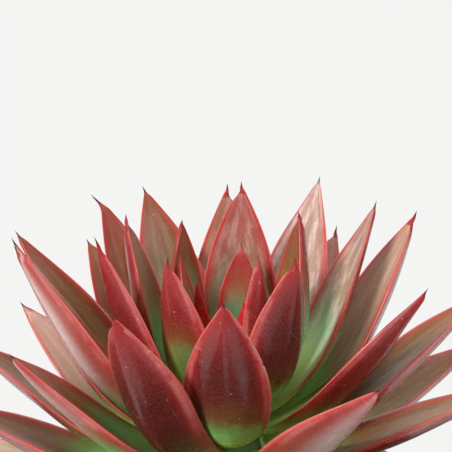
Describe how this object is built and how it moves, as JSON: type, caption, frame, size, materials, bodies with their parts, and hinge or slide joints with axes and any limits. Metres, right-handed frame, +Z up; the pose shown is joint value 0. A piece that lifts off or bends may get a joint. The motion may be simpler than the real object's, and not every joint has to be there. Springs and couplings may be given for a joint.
{
  "type": "potted echeveria",
  "caption": "Rosette succulent with upright, keeled, needle-tipped leaves on a short stem, growing in a plain round clay pot of soil.",
  "frame": {"origin": "centre of the flat foot of the pot, on the surface that it stands on", "axes": "+Z up along the pot's and the stem's axis; -Y towards the viewer of the picture; +X to the viewer's right"},
  "size_m": [0.168, 0.1578, 0.2021],
  "materials": {
    "leaf": "satin",
    "young_leaf": "satin",
    "stalk": "matte",
    "earth": "matte",
    "clay": "matte"
  },
  "bodies": {
    "root": {"heart": "young_leaf", "inner_leaf_01": "leaf", "inner_leaf_02": "leaf", "inner_leaf_03": "leaf", "inner_leaf_04": "leaf", "inner_leaf_05": "leaf", "inner_leaf_06": "leaf", "inner_leaf_07": "leaf", "inner_leaf_08": "leaf", "inner_leaf_09": "leaf", "middle_leaf_01": "leaf", "middle_leaf_02": "leaf", "middle_leaf_03": "leaf", "middle_leaf_04": "leaf", "middle_leaf_05": "leaf", "middle_leaf_06": "leaf", "middle_leaf_07": "leaf", "middle_leaf_08": "leaf", "middle_leaf_09": "leaf", "middle_leaf_10": "leaf", "middle_leaf_11": "leaf", "middle_leaf_12": "leaf", "middle_leaf_13": "leaf", "middle_leaf_14": "leaf", "middle_leaf_15": "leaf", "lower_leaf_01": "leaf", "lower_leaf_02": "leaf", "lower_leaf_03": "leaf", "lower_leaf_04": "leaf", "lower_leaf_05": "leaf", "lower_leaf_06": "leaf", "lower_leaf_07": "leaf", "lower_leaf_08": "leaf", "lower_leaf_09": "leaf", "lower_leaf_10": "leaf", "lower_leaf_11": "leaf", "lower_leaf_12": "leaf", "lower_leaf_13": "leaf", "lower_leaf_14": "leaf", "lower_leaf_15": "leaf", "lower_leaf_16": "leaf", "lower_leaf_17": "leaf", "lower_leaf_18": "leaf", "lower_leaf_19": "leaf", "stem": "stalk", "soil": "earth", "pot": "clay"}
  },
  "joints": []
}
